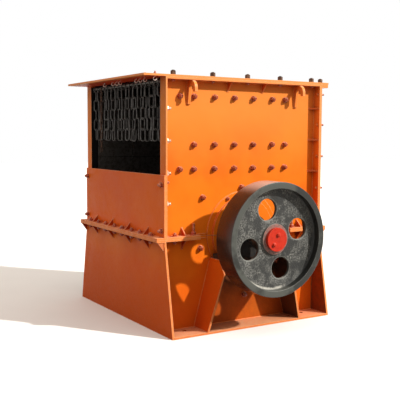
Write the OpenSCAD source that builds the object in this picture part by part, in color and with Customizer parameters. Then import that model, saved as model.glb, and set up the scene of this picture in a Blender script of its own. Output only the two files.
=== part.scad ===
// Box crusher: a welded plate casing with a chain-curtained feed mouth, bolted on a
// flared base, with a hammer rotor on two outboard bearings and a flywheel at each end.
// Millimetres. X runs along the shaft, -Y is the feed side, +Z is up.
// The origin lies on the floor, midway between the four anchor holes.

/* [Casing] */
// Width of the casing over its side flanges
casing_w = 1362; // [1150:2:1650]
// Depth of the casing over its upright flanges
casing_d = 1384; // [1250:2:1750]
// Height of the split line and the shaft above the floor
split_z = 680; // [600:2:820]
// Height of the casing from the split line to the top of its top flange
casing_h = 1128; // [1050:2:1400]
// Thickness of the casing and base side walls
wall_t = 12; // [8:1:16]
// How far the side flanges stand out from the walls
flange_w = 70; // [60:1:95]
// How far the split flanges stand out in front and behind
end_flange_w = 70; // [60:1:95]
// Thickness of each split and top flange plate
flange_t = 15; // [10:1:18]
// Thickness of the upright front and rear flanges
upright_t = 12; // [8:1:16]

/* [Feed side and roof] */
// Height of the bolted front plate above the split flange
front_plate_h = 436; // [350:2:530]
// Thickness of the bolted front plate
front_plate_t = 12; // [6:1:16]
// Thickness of the bolted rear plate
rear_plate_t = 12; // [6:1:16]
// Thickness of the roof plate
roof_t = 15; // [8:1:18]
// Overhang of the roof past the front flanges
roof_front = 170; // [110:2:220]
// Overhang of the roof past the rear plate
roof_rear = 64; // [50:2:120]
// Height of the bar under the rear edge of the roof
rear_bar_h = 25; // [18:1:40]

/* [Base] */
// How far the base spreads past the casing at the floor, each side
base_flare = 120; // [90:2:180]
// Thickness of the base end plates and foot plates
base_t = 15; // [10:1:20]
// Diameter of the anchor holes
anchor_d = 33; // [24:1:42]
// Distance of the anchor holes from the outer edge of the foot plate
anchor_edge = 131; // [60:1:145]
// Distance of the anchor holes from the ends of the foot plates
anchor_in = 154; // [110:1:220]

/* [Gussets and lugs] */
// Thickness of the gussets
gusset_t = 10; // [6:1:14]
// Spacing of the end gussets
gusset_pitch = 300; // [240:1:330]
// Height of the gussets above the split flange
gusset_up = 58; // [40:1:80]
// Height of the gussets below the split flange
gusset_down = 72; // [50:1:90]
// Distance of the side gussets from the upright flanges' faces
side_gusset_in = 168; // [80:2:200]
// Thickness of the lifting lugs
lug_t = 22; // [14:1:32]
// Width of the lug's leg, arch and tip
lug_w = 29; // [22:1:46]
// Radius inside the lug's arch
lug_arch_r = 26; // [22:1:44]
// Distance of the front lifting lugs from the front flange face
lug_front_in = 219; // [180:1:280]
// Distance of the rear lifting lugs from the rear flange face
lug_rear_in = 203; // [180:1:320]

/* [Bearings] */
// Diameter of the shaft in the bearings and flywheels
journal_d = 110; // [90:2:130]
// Radial running clearance of the shaft in the bearings
running_gap = 0.06; // [0.02:0.01:0.1]
// Width of the bearing housings along the shaft
bearing_w = 100; // [80:2:110]
// Radius of the bearing caps
bearing_r = 150; // [140:2:158]
// Height of the shaft above the bearing seats
centre_h = 165; // [160:1:190]
// Half length of the bearing seats
seat_y = 290; // [270:2:330]
// Half length of the bearing ears at the split
ear_y = 225; // [200:5:250]
// Outer radius of the shaft cover
cover_r = 313; // [295:1:340]
// Gap between the shaft covers and the ends of the side split flanges
side_flange_gap = 95; // [10:1:110]

/* [Rotor] */
// Diameter of the shaft between the side walls
shaft_d = 150; // [140:2:170]
// Gap around the shaft where it passes the walls
wall_gap = 10; // [6:1:20]
// Diameter of the rotor discs
disc_d = 640; // [560:10:700]
// Thickness of the rotor discs
disc_t = 30; // [20:1:40]
// Spacing of the rotor discs
disc_pitch = 208; // [170:2:214]
// Number of hammer rows around the rotor
hammer_rows = 4; // [3:1:6]
// Radius to the hammer tips
hammer_r = 490; // [440:5:510]
// Diameter of the hammer pins
pin_d = 45; // [35:1:55]

/* [Flywheels] */
// Diameter of the flywheels
wheel_d = 814; // [700:2:900]
// Width of the flywheel rims
wheel_w = 185; // [150:1:230]
// Radial thickness of the rims
rim_t = 46; // [35:1:60]
// Depth of the webs behind the outer faces of the rims
web_depth = 61; // [45:1:90]
// Thickness of the webs
web_t = 26; // [20:1:50]
// Diameter of the holes in the webs
web_hole_d = 153; // [120:1:170]
// Turn of the web holes about the shaft
web_hole_turn = 16; // [0:1:89]
// Diameter of the hubs
hub_d = 220; // [200:2:260]
// Diameter of the shaft end caps
end_cap_d = 168; // [150:1:196]
// Gap between the bearing housings and the flywheel rims
wheel_gap = 143; // [100:1:180]

/* [Chain curtain] */
// Number of chain strands
strand_count = 18; // [12:1:18]
// Diameter of the curtain bar
bar_d = 24; // [18:1:30]
// Distance of the curtain bar behind the front flange face
bar_back = 26; // [24:1:60]
// Height from the curtain bar to the lowest chain end
curtain_h = 418; // [300:2:500]
// Width of a chain strand
strand_w = 40; // [30:1:44]

/* [Hidden] */

paint = "#e0701c";
paint_shade = "#c65c1a";
cast_black = "#2b2927";
cap_red = "#b3201a";
bare_steel = "#6e6a66";
chain_dark = "#3a3634";

round_fn = 96;
eps = 1;

half_w = casing_w / 2;
base_w = casing_w + 2 * base_flare;
base_step = 12;
half_d = casing_d / 2;
wall_out = half_w - flange_w;
wall_in = wall_out - wall_t;
flange_out_y = half_d + end_flange_w;
base_out_y = half_d + base_step;
base_end_in = base_out_y - base_t;
upright_in = half_d - upright_t;
rear_bar_in = 4;
rear_out = half_d + rear_plate_t;
low_flange_z = split_z - flange_t;
high_flange_z = split_z + flange_t;
top_z = split_z + casing_h;
top_flange_z = top_z - flange_t;
front_plate_z = high_flange_z + front_plate_h;
foot_in = wall_in - 15;
anchor_x = base_w / 2 - anchor_edge;
anchor_y = base_end_in - anchor_in;
side_gusset_y = half_d - side_gusset_in;

// The side split flanges stop short of the shaft covers
side_flange_y = max(cover_r, seat_y) + side_flange_gap;
shaft_hole_r = shaft_d / 2 + wall_gap;

// Bearings and pedestals
cover_t = 8;
cover_boss_r = cover_r - 42;
cover_boss_t = 25;
bearing_in = wall_out + cover_boss_t + 5;
bearing_out = bearing_in + bearing_w;
cover_gap = 3;
ear_t = 30;
body_y = bearing_r + 12;
foot_y = seat_y - 14;
foot_t = 32;
seat_z = split_z - centre_h;
seat_t = 24;
rib_t = 16;
rib_top_z = seat_z - seat_t;
rib_foot_y = seat_y + 134;
rib_foot_x = base_w / 2 - 2;
rib_wheel_gap = 46;
rib_cut_z = rib_top_z - 63;
seat_out = bearing_out + 12;
rib_top_x = seat_out + 8;

// Gussets stop short of the flange edges
gusset_inset = 5;
top_gusset_ys = [-139, 172];
top_gusset_h = 70;

// Heights of the level gussets on the rear flanges
rear_gusset_zs = [for (i = [0 : 2]) top_flange_z - 172 - i * 245];
rear_gusset_y = 56;

// Rotor
bore_r = journal_d / 2 + running_gap;
wheel_in = bearing_out + wheel_gap;
wheel_out = wheel_in + wheel_w;
web_front = wheel_out - web_depth;
web_back = web_front - web_t;
cap_t = 23;
cap_below = 22;
hub_out = wheel_out - cap_below - cap_t;
web_hole_circle_r = max(
    hub_d / 2 + web_hole_d / 2 + 8,
    (wheel_d / 2 - rim_t + hub_d / 2) / 2 - 16
);
disc_count = 6;
pin_circle_r = disc_d / 2 - 70;
hammer_w = disc_pitch - disc_t - 20;
hammer_t = 60;
hammer_turn = 45;

// Chain curtain
bar_y = -half_d + bar_back;
strand_gap = 0.3;
strand_t = 14;
collar_t = 6;
collar_w = 16;
bar_z = top_z - bar_d / 2 - collar_t - 6;
liner_t = 12;
liner_gap = 4;
liner_in = 60;
liner_below = 160;
strand_clear = 6;
strand_short = 14;
strand_pitch = (2 * (wall_in - liner_t - strand_clear) - strand_w) / (strand_count - 1);

// A body turned to run along X from x = a to x = b
module along_x(a, b, r) {
    translate([a, 0, 0])
        rotate([0, 90, 0])
            cylinder(h = b - a, r = r, $fn = round_fn);
}

// A box from its lowest and highest corners
module span(low, high) {
    translate(low)
        cube(high - low);
}

// The same piece on the left and the right
module right() {
    children();
}

module left() {
    mirror([1, 0, 0])
        children();
}

module both_sides() {
    right() children();
    left() children();
}

module both_ends() {
    children();
    mirror([0, 1, 0])
        children();
}

// A triangular plate: leg a out along +X, leg b up along +Z, thickness t centred on Y
module gusset(a, b, t) {
    translate([0, t / 2, 0])
        rotate([90, 0, 0])
            linear_extrude(t)
                polygon([[0, 0], [a, 0], [0, b]]);
}

// ---- Base ----

module base_end_plate() {
    color(paint)
        translate([0, -base_end_in, 0])
            rotate([90, 0, 0])
                linear_extrude(base_t)
                    polygon([
                        [-base_w / 2, 0], [base_w / 2, 0],
                        [half_w, low_flange_z], [-half_w, low_flange_z]
                    ]);
}

module base_front_plate() {
    base_end_plate();
}

module base_rear_plate() {
    mirror([0, 1, 0])
        base_end_plate();
}

module base_wall() {
    color(paint)
        difference() {
            union() {
                span([wall_in, -base_end_in, base_t], [wall_out, base_end_in, low_flange_z]);
                span([wall_in, -side_flange_y, low_flange_z - eps], [wall_out, side_flange_y, split_z]);
            }
            translate([0, 0, split_z])
                along_x(wall_in - eps, wall_out + eps, shaft_hole_r);
        }
}

module foot_plate() {
    color(paint)
        difference() {
            span([foot_in, -base_end_in, 0], [base_w / 2, base_end_in, base_t]);
            for (side = [-1, 1])
                translate([anchor_x, side * anchor_y, -eps])
                    cylinder(h = base_t + 2 * eps, d = anchor_d, $fn = round_fn);
        }
}

module base_end_flanges() {
    color(paint)
        both_ends()
            span([-half_w, -flange_out_y, low_flange_z], [half_w, -base_end_in, split_z]);
}

// A side strip of a split flange, ahead of the shaft and behind it
module side_strips(z, end_y) {
    color(paint)
        both_sides()
            both_ends()
                span([wall_in, -end_y, z], [half_w, -side_flange_y, z + flange_t]);
}

module base_side_flanges() {
    side_strips(low_flange_z, base_end_in);
}

module base_gussets() {
    color(paint) {
        both_ends() {
            for (i = [-1.5 : 1 : 1.5])
                translate([i * gusset_pitch, -base_out_y, low_flange_z])
                    rotate([180, 0, -90])
                        gusset(end_flange_w - base_step - gusset_inset, gusset_down, gusset_t);
            for (side = [-1, 1])
                translate([side * (half_w - gusset_t / 2), -base_out_y, low_flange_z])
                    rotate([180, 0, -90])
                        gusset(end_flange_w - base_step - gusset_inset, gusset_down, gusset_t);
        }
        both_sides()
            both_ends()
                translate([wall_out, -side_gusset_y, low_flange_z])
                    rotate([180, 0, 0])
                        gusset(flange_w - gusset_inset, gusset_down, gusset_t);
    }
}

// ---- Pedestals and bearings ----

// The ribs splay out from the ends of the seat to the floor; their outer edges lean out
// towards the flywheel and are cut back to the seat
module pedestal_rib() {
    intersection() {
        rotate([90, 0, 0])
            linear_extrude(2 * rib_foot_y)
                polygon([
                    [wall_out, base_t], [rib_foot_x, base_t],
                    [wheel_in - rib_wheel_gap, rib_cut_z],
                    [rib_top_x, rib_top_z], [wall_out, rib_top_z]
                ]);
        rotate([90, 0, 90])
            linear_extrude(base_w)
                polygon([
                    [-seat_y, rib_top_z], [-seat_y + rib_t, rib_top_z],
                    [-rib_foot_y + rib_t, 0], [-rib_foot_y, 0]
                ]);
    }
}

module pedestal() {
    color(paint_shade) {
        both_ends()
            pedestal_rib();
        span([wall_out, -seat_y, rib_top_z], [seat_out, seat_y, seat_z]);
    }
}

// Lower half of the housing: foot, body and ears; the cap is the upper half
module bearing_base() {
    color(cast_black)
        difference() {
            union() {
                span([bearing_in, -foot_y, seat_z], [bearing_out, foot_y, seat_z + foot_t]);
                span([bearing_in, -body_y, seat_z], [bearing_out, body_y, split_z]);
                span([bearing_in, -ear_y, split_z - ear_t], [bearing_out, ear_y, split_z]);
            }
            translate([0, 0, split_z])
                along_x(bearing_in - eps, bearing_out + eps, bore_r);
        }
}

module bearing_cap() {
    color(cast_black)
        difference() {
            union() {
                translate([0, 0, split_z])
                    along_x(bearing_in, bearing_out, bearing_r);
                span([bearing_in, -ear_y, split_z], [bearing_out, ear_y, split_z + ear_t]);
            }
            span([0, -ear_y - eps, 0], [base_w, ear_y + eps, split_z]);
            translate([0, 0, split_z])
                along_x(bearing_in - eps, bearing_out + eps, bore_r);
        }
}

// ---- Casing ----

module casing_end_flanges() {
    color(paint)
        both_ends()
            span([-half_w, -flange_out_y, split_z], [half_w, -upright_in, high_flange_z]);
}

module casing_side_flanges() {
    side_strips(split_z, upright_in);
}

module casing_gussets() {
    color(paint) {
        for (i = [-1.5 : 1 : 1.5]) {
            translate([i * gusset_pitch, -half_d - front_plate_t, high_flange_z])
                rotate([0, 0, -90])
                    gusset(end_flange_w - front_plate_t - gusset_inset, gusset_up, gusset_t);
            translate([i * gusset_pitch, rear_out, high_flange_z])
                rotate([0, 0, 90])
                    gusset(end_flange_w - rear_plate_t - gusset_inset, gusset_up, gusset_t);
        }
        both_sides() {
            both_ends()
                translate([wall_out, -side_gusset_y, high_flange_z])
                    gusset(flange_w - gusset_inset, gusset_up, gusset_t);
            for (y = top_gusset_ys)
                translate([wall_out, y, top_flange_z])
                    rotate([180, 0, 0])
                        gusset(flange_w - gusset_inset, top_gusset_h, gusset_t);
            // Level gussets between the wall and the rear flange
            for (z = rear_gusset_zs)
                translate([wall_out, upright_in, z])
                    rotate([-90, 0, 0])
                        mirror([0, 0, 1])
                            gusset(flange_w - gusset_inset, rear_gusset_y, gusset_t);
        }
    }
}

module casing_wall() {
    color(paint)
        difference() {
            union() {
                span([wall_in, -half_d, high_flange_z], [wall_out, half_d, top_flange_z]);
                span([wall_in, -side_flange_y, split_z], [wall_out, side_flange_y, high_flange_z + eps]);
            }
            translate([0, 0, split_z])
                along_x(wall_in - eps, wall_out + eps, shaft_hole_r);
        }
}

module front_flange() {
    color(paint)
        span([wall_out, -half_d, high_flange_z], [half_w, -upright_in, top_flange_z]);
}

module rear_flange() {
    color(paint)
        span([wall_out, upright_in, high_flange_z], [half_w, half_d, top_flange_z]);
}

module rear_plate() {
    color(paint)
        span([-half_w, half_d, high_flange_z], [half_w, rear_out, top_z]);
}

module front_plate() {
    color(paint)
        span([-half_w, -half_d - front_plate_t, high_flange_z], [half_w, -half_d, front_plate_z]);
}

module top_side_flanges() {
    color(paint)
        both_sides()
            span([wall_in, -half_d, top_flange_z], [half_w, half_d, top_z]);
}

module top_rear_flange() {
    color(paint)
        span([-half_w, rear_out, top_z - rear_bar_h], [half_w, rear_out + roof_rear - rear_bar_in, top_z]);
}

module roof_plate() {
    color(paint_shade)
        span([-half_w, -half_d - roof_front, top_z], [half_w, rear_out + roof_rear, top_z + roof_t]);
}

// A hook-shaped lug: a tapered leg on the wall, and an arch that ends in a short outer tip
module lug() {
    arch_x = lug_w + lug_arch_r;
    reach = arch_x + lug_arch_r + lug_w;
    arch_drop = 2;
    arch_z = -lug_arch_r - lug_w - arch_drop;
    tip_h = 26;
    leg_w = 13;
    leg_z = -168;
    translate([wall_out, lug_t / 2, top_flange_z])
        rotate([90, 0, 0])
            linear_extrude(lug_t)
                difference() {
                    union() {
                        translate([0, arch_z])
                            square([arch_x, -arch_z]);
                        polygon([[0, arch_z], [lug_w, arch_z], [leg_w, leg_z], [0, leg_z]]);
                        intersection() {
                            translate([arch_x, arch_z])
                                circle(r = lug_arch_r + lug_w, $fn = round_fn);
                            translate([arch_x - eps, arch_z])
                                square(reach);
                        }
                        translate([reach - lug_w, arch_z - tip_h])
                            square([lug_w, tip_h + eps]);
                    }
                    translate([arch_x, arch_z])
                        circle(r = lug_arch_r, $fn = round_fn);
                }
}

module lifting_lugs() {
    color(paint) {
        translate([0, lug_front_in - half_d, 0])
            lug();
        translate([0, half_d - lug_rear_in, 0])
            lug();
    }
}

// Two part covers, above and below the split line, each a flange with a raised boss
module shaft_cover() {
    low = [wall_out - eps, -cover_r - eps];
    high = [wall_out + cover_boss_t + eps, cover_r + eps];
    color(paint_shade)
        difference() {
            translate([0, 0, split_z]) {
                along_x(wall_out, wall_out + cover_t, cover_r);
                along_x(wall_out, wall_out + cover_boss_t, cover_boss_r);
            }
            translate([0, 0, split_z])
                along_x(low[0], high[0], shaft_hole_r);
            span([low[0], low[1], split_z - cover_gap / 2], [high[0], high[1], split_z + cover_gap / 2]);
            span([low[0], low[1], split_z - cover_r - eps], [high[0], high[1], seat_z + cover_gap]);
        }
}

// Wear plates inside the wall, in three rows of four
module liner_plates() {
    rows = 3;
    columns = 4;
    low = [-half_d + liner_in, front_plate_z - liner_below];
    high = [half_d - liner_in, top_flange_z - liner_in];
    step = [(high[0] - low[0]) / columns, (high[1] - low[1]) / rows];
    size = [liner_t, step[0] - liner_gap, step[1] - liner_gap];
    color(bare_steel)
        for (i = [0 : columns - 1], j = [0 : rows - 1])
            translate([wall_in - liner_t, low[0] + i * step[0], low[1] + j * step[1]])
                cube(size);
}

// ---- Chain curtain ----

module curtain_bar() {
    color(bare_steel)
        translate([0, bar_y, bar_z])
            along_x(-wall_in, wall_in, bar_d / 2);
}

module chain_strands() {
    color(chain_dark)
        for (i = [0 : strand_count - 1])
            translate([(i - (strand_count - 1) / 2) * strand_pitch, bar_y, bar_z])
                chain_strand(i % 2 == 0 ? 0 : strand_short);
}

// A strand of chain: a collar that rides on the bar and the links below it
module chain_strand(short) {
    difference() {
        union() {
            along_x(-collar_w / 2, collar_w / 2, bar_d / 2 + collar_t);
            span([-strand_w / 2, -strand_t / 2, -curtain_h + short],
                [strand_w / 2, strand_t / 2, -bar_d / 2 - 4]);
        }
        along_x(-strand_w, strand_w, bar_d / 2 + strand_gap);
    }
}

// ---- Rotor ----

module rotor_shaft() {
    color(bare_steel)
        translate([0, 0, split_z]) {
            along_x(-wall_out - cover_boss_t, wall_out + cover_boss_t, shaft_d / 2);
            along_x(-hub_out, hub_out, journal_d / 2);
        }
}

module rotor_discs() {
    color(cast_black)
        difference() {
            for (i = [0 : disc_count - 1])
                translate([(i - (disc_count - 1) / 2) * disc_pitch, 0, split_z])
                    along_x(-disc_t / 2, disc_t / 2, disc_d / 2);
            translate([0, 0, split_z])
                along_x(-wall_in, wall_in, shaft_d / 2);
            hammer_pin_set(pin_d / 2);
        }
}

module hammer_pin_set(r) {
    reach = (disc_count - 1) / 2 * disc_pitch + disc_t;
    for (k = [0 : hammer_rows - 1])
        translate([0, 0, split_z])
            rotate([k * 360 / hammer_rows + hammer_turn, 0, 0])
                translate([0, 0, pin_circle_r])
                    along_x(-reach, reach, r);
}

module hammer_pins() {
    color(bare_steel)
        hammer_pin_set(pin_d / 2);
}

module hammers() {
    color(cast_black)
        difference() {
            for (i = [0 : disc_count - 2], k = [0 : hammer_rows - 1])
                translate([(i - (disc_count - 2) / 2) * disc_pitch, 0, split_z])
                    rotate([k * 360 / hammer_rows + hammer_turn, 0, 0])
                        span([-hammer_w / 2, -hammer_t / 2, pin_circle_r - hammer_t],
                            [hammer_w / 2, hammer_t / 2, hammer_r]);
            hammer_pin_set(pin_d / 2);
        }
}

// ---- Flywheels ----

module flywheel() {
    color(cast_black)
        difference() {
            translate([0, 0, split_z])
                rotate([0, 90, 0])
                    rotate_extrude($fn = round_fn)
                        wheel_section();
            for (k = [0 : 3])
                translate([0, 0, split_z])
                    rotate([web_hole_turn + k * 90, 0, 0])
                        translate([0, 0, web_hole_circle_r])
                            along_x(web_back - web_t, web_front + web_t, web_hole_d / 2);
        }
}

// Half section through the wheel, radius across and shaft direction up
module wheel_section() {
    r = wheel_d / 2;
    chamfer = 5;
    fillet = 15;
    polygon([
        [journal_d / 2, wheel_in], [hub_d / 2, wheel_in], [hub_d / 2, web_back],
        [r - rim_t - fillet, web_back], [r - rim_t, web_back - fillet], [r - rim_t, wheel_in],
        [r - chamfer, wheel_in], [r, wheel_in + chamfer],
        [r, wheel_out - chamfer], [r - chamfer, wheel_out],
        [r - rim_t, wheel_out], [r - rim_t, web_front + fillet],
        [r - rim_t - fillet, web_front], [hub_d / 2, web_front],
        [hub_d / 2, hub_out], [journal_d / 2, hub_out]
    ]);
}

module shaft_end_cap() {
    color(cap_red)
        translate([0, 0, split_z])
            along_x(hub_out, hub_out + cap_t, end_cap_d / 2);
}

base_front_plate();
base_rear_plate();
left() base_wall();  // base_wall_left
right() base_wall();  // base_wall_right
left() foot_plate();  // foot_plate_left
right() foot_plate();  // foot_plate_right
base_end_flanges();
base_side_flanges();
base_gussets();
left() pedestal();  // pedestal_left
right() pedestal();  // pedestal_right
left() bearing_base();  // bearing_base_left
right() bearing_base();  // bearing_base_right
left() bearing_cap();  // bearing_cap_left
right() bearing_cap();  // bearing_cap_right
casing_end_flanges();
casing_side_flanges();
casing_gussets();
left() casing_wall();  // casing_wall_left
right() casing_wall();  // casing_wall_right
left() front_flange();  // front_flange_left
right() front_flange();  // front_flange_right
left() rear_flange();  // rear_flange_left
right() rear_flange();  // rear_flange_right
rear_plate();
front_plate();
top_side_flanges();
top_rear_flange();
roof_plate();
left() lifting_lugs();  // lifting_lugs_left
right() lifting_lugs();  // lifting_lugs_right
left() shaft_cover();  // shaft_cover_left
right() shaft_cover();  // shaft_cover_right
left() liner_plates();  // liner_plates_left
right() liner_plates();  // liner_plates_right
curtain_bar();
chain_strands();
rotor_shaft();
rotor_discs();
hammer_pins();
hammers();
left() flywheel();  // flywheel_left
right() flywheel();  // flywheel_right
left() shaft_end_cap();  // shaft_end_cap_left
right() shaft_end_cap();  // shaft_end_cap_right
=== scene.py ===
import time
from math import cos, degrees, pi, radians, sin, sqrt, tan

import bmesh
import bpy
from mathutils import Matrix, Vector


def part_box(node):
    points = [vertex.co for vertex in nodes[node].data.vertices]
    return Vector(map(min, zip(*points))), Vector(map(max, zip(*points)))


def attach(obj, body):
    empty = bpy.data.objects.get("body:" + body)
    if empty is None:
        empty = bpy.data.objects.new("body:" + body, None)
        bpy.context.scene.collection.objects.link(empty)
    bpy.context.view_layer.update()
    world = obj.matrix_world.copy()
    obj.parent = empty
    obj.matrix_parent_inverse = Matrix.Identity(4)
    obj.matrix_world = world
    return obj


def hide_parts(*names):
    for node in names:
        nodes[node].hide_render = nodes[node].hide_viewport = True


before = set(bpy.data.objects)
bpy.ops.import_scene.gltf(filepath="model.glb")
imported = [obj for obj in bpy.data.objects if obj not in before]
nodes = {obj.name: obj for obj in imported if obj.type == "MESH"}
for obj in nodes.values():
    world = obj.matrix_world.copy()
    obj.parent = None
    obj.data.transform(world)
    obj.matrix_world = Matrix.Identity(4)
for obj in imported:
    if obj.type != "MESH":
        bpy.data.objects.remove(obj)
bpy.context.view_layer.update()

startTime = time.time()
scene = bpy.context.scene


def stage(text):
    print(f"box crusher: {text} ({time.time() - startTime:.1f} s)")


def addObject(name, data):
    item = bpy.data.objects.new(name, data)
    scene.collection.objects.link(item)
    return item


# Places taken from the frame: the lowest and highest corner of each piece

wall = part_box("casing_wall_right")
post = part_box("front_flange_right")
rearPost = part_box("rear_flange_right")
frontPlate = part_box("front_plate")
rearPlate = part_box("rear_plate")
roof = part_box("roof_plate")
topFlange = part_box("top_side_flanges")
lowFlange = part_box("base_end_flanges")
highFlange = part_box("casing_end_flanges")
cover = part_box("shaft_cover_right")
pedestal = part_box("pedestal_right")
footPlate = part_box("foot_plate_right")
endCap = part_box("shaft_end_cap_right")


def middleOf(box):
    return (box[0] + box[1]) / 2


axle = middleOf(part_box("rotor_shaft")).z
flangeMiddle = (wall[1].x + post[1].x) / 2
skin = 0.001  # reaches past a face, so that the face itself counts
seatThickness = 0.024  # of the plate on top of each pedestal
seatEnd = max(abs(v.co.y) for v in nodes["pedestal_right"].data.vertices if v.co.z > pedestal[1].z - skin)


# Camera: standing in front of the feed mouth, a little to the flywheel side

view = {
    "place": (5.047, -3.111, 1.399),
    "azimuth": 58.301,  # degrees, 0 looks along +Y
    "lookDown": 5.014,
    "roll": 0.287,
    "lens": 65.186,
    "sensor": 36.0,
}


def addCamera():
    azimuth, down, roll = (radians(view[key]) for key in ("azimuth", "lookDown", "roll"))
    back = Vector((sin(azimuth) * cos(down), -cos(azimuth) * cos(down), sin(down)))
    level = Vector((cos(azimuth), sin(azimuth), 0))
    rise = back.cross(level)
    right = level * cos(roll) + rise * sin(roll)
    up = rise * cos(roll) - level * sin(roll)
    data = bpy.data.cameras.new("camera")
    data.sensor_width = view["sensor"]
    data.lens = view["lens"]
    camera = addObject("camera", data)
    camera.matrix_world = Matrix.Translation(view["place"]) @ Matrix((right, up, back)).transposed().to_4x4()
    scene.camera = camera


addCamera()
scene.view_settings.view_transform = "Standard"
stage("camera set")


# Short ways to write a node tree

def addNode(tree, kind, inputs=None, **settings):
    node = tree.nodes.new(kind)
    for name, value in settings.items():
        setattr(node, name, value)
    for key, value in (inputs or {}).items():
        if isinstance(value, bpy.types.NodeSocket):
            tree.links.new(value, node.inputs[key])
        else:
            node.inputs[key].default_value = value
    return node


def nodeOut(tree, kind, inputs=None, **settings):
    return addNode(tree, kind, inputs, **settings).outputs[0]


def treeOf(*values):  # the tree that these sockets belong to
    return next(value.id_data for value in values if isinstance(value, bpy.types.NodeSocket))


def calc(operation, *values, clamp=False):
    inputs = dict(enumerate(values))
    return nodeOut(treeOf(*values), "ShaderNodeMath", inputs, operation=operation, use_clamp=clamp)


def minus(first, second):
    return calc("SUBTRACT", first, second)


def product(first, *others):
    for other in others:
        first = calc("MULTIPLY", first, other)
    return first


def isAbove(value, limit):
    return calc("GREATER_THAN", value, limit)


def isBelow(value, limit):
    return calc("LESS_THAN", value, limit)


def absolute(value):
    return calc("ABSOLUTE", value)


def between(value, low, high, first=0.0, last=1.0):  # a smooth step from first to last
    inputs = {0: value, 1: low, 2: high, 3: first, 4: last}
    return nodeOut(treeOf(value), "ShaderNodeMapRange", inputs, interpolation_type="SMOOTHSTEP")


def axesOf(vector):
    return list(addNode(treeOf(vector), "ShaderNodeSeparateXYZ", {0: vector}).outputs)


def distance(first, second):
    squares = [calc("POWER", value, 2.0) for value in (first, second)]
    return calc("SQRT", calc("ADD", *squares))


def scaled(vector, share):
    return nodeOut(treeOf(vector), "ShaderNodeVectorMath", {0: vector, "Scale": share}, operation="SCALE")


def mixColour(share, *colours):  # a colour is a socket or (red, green, blue)
    first, second = (value if isinstance(value, bpy.types.NodeSocket) else (*value, 1.0) for value in colours)
    inputs = {0: share, 6: first, 7: second}
    return addNode(treeOf(share), "ShaderNodeMix", inputs, data_type="RGBA").outputs[2]


def layered(colour, look, *layers):  # each layer is (share, name of its colour in the look)
    for share, name in layers:
        colour = mixColour(share, colour, look[name])
    return colour


def noise(place, size, detail=3.0, roughness=0.55):  # size is in metres
    inputs = {"Vector": place, "Scale": 1 / size, "Detail": detail, "Roughness": roughness}
    return nodeOut(treeOf(place), "ShaderNodeTexNoise", inputs)


def flatNormal(tree):
    return addNode(tree, "ShaderNodeNewGeometry").outputs["True Normal"]


def roundedNormal(tree, radius):  # plate edges are never knife sharp
    return nodeOut(tree, "ShaderNodeBevel", {"Radius": radius}, samples=4)


def edgeMask(tree, radius, reach):  # 1 along the arrises, 0 on the flats
    vectors = {0: roundedNormal(tree, radius), 1: flatNormal(tree)}
    match = addNode(tree, "ShaderNodeVectorMath", vectors, operation="DOT_PRODUCT").outputs["Value"]
    return between(match, 1.0 - reach, 0.999, 1.0, 0.0)


def addBump(height, depth, normal):
    inputs = {"Height": height, "Strength": 1.0, "Distance": depth, "Normal": normal}
    return nodeOut(treeOf(height), "ShaderNodeBump", inputs)


def newMaterial(name, **shaderValues):
    material = bpy.data.materials.new(name)
    material.use_nodes = True
    tree = material.node_tree
    for key, value in shaderValues.items():
        tree.nodes["Principled BSDF"].inputs[key.replace("_", " ")].default_value = value
    return material, tree, addNode(tree, "ShaderNodeTexCoord").outputs["Object"]


def linked(material, **sockets):
    tree = material.node_tree
    for key, value in sockets.items():
        tree.links.new(value, tree.nodes["Principled BSDF"].inputs[key.replace("_", " ")])
    return material


# Paint

paintLook = {
    "colour": (0.94, 0.208, 0.010),
    "thin": (0.82, 0.140, 0.007),  # where the coat is thinner and redder
    "low": (0.60, 0.100, 0.008),  # painted shade: darker and redder towards the floor, most on the end faces
    "lowShadeHeights": (0.10, 0.56),
    "paler": (0.94, 0.285, 0.048),  # paler towards the top
    "palerHeights": (1.00, 1.80),
    "feedSide": (0.87, 0.118, 0.010),  # painted shade: redder on faces that look to the feed side, below the mouth
    "feedShare": 0.60,
    "sillHeights": (1.12, 1.16),  # where this painted shade ends
    "underSplitHeights": (0.42, 0.60),  # less of this painted shade under the split line
    "splitHeight": 0.68,
    "thinEdgeAndSheen": (1.0, 0.37, 0.14),  # sheared edges: thin coat, and a painted highlight along them
    "dust": (0.76, 0.39, 0.215),  # lies on whatever looks up
    "dustShare": 0.88,
    "edgeWearAndSheen": (1.0, 0.52, 0.26),  # along the edges of the plates: wear, and a painted highlight
    "cornerShade": (0.32, 0.036, 0.006),  # painted shade in corners and recesses
    "innerShade": (0.10, 0.040, 0.016),  # painted shade on the inner faces of the base ends and ribs
    "overhang": (0.66, 0.036, 0.004),  # painted shade: deeper red under the roof, ahead of the chains
    "pedestalShade": (0.030, 0.020, 0.014),  # painted shade between the pedestal ribs, under the flywheels
    "pedestalShadeHeights": (0.18, 0.40),
    "inside": (0.007, 0.006, 0.006),  # the unpainted, blackened inner faces, darkened further as painted shade of the closed chamber
    "paintedLip": 0.05,  # how far the roof's paint reaches into the chamber
    "gloss": 0.42,
    "shine": 0.10,
}


def insideMask(place, look):  # 1 on every face that looks into the crushing chamber
    x, y, z = axesOf(place)
    plate = (frontPlate[0].y + frontPlate[1].y) / 2
    across = isBelow(absolute(x), wall[0].x + skin)
    painted = product(isAbove(z, roof[0].z - 0.01), look["paintedLip"])
    along = product(isAbove(minus(y, painted), plate), isBelow(y, -plate))
    return product(across, along, isBelow(z, roof[0].z + skin))


def shearedMask(place, faces):  # 1 on the sheared edges of the flanges, posts, ribs and roof
    axes = axesOf(place)
    masks = []
    for axis, reach in ((0, post[1].x - 0.004), (1, 0.010 - frontPlate[0].y)):
        outward = isAbove(absolute(faces[axis]), 0.9)
        masks.append(product(isAbove(absolute(axes[axis]), reach), outward))
    return calc("MAXIMUM", *masks)


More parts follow.
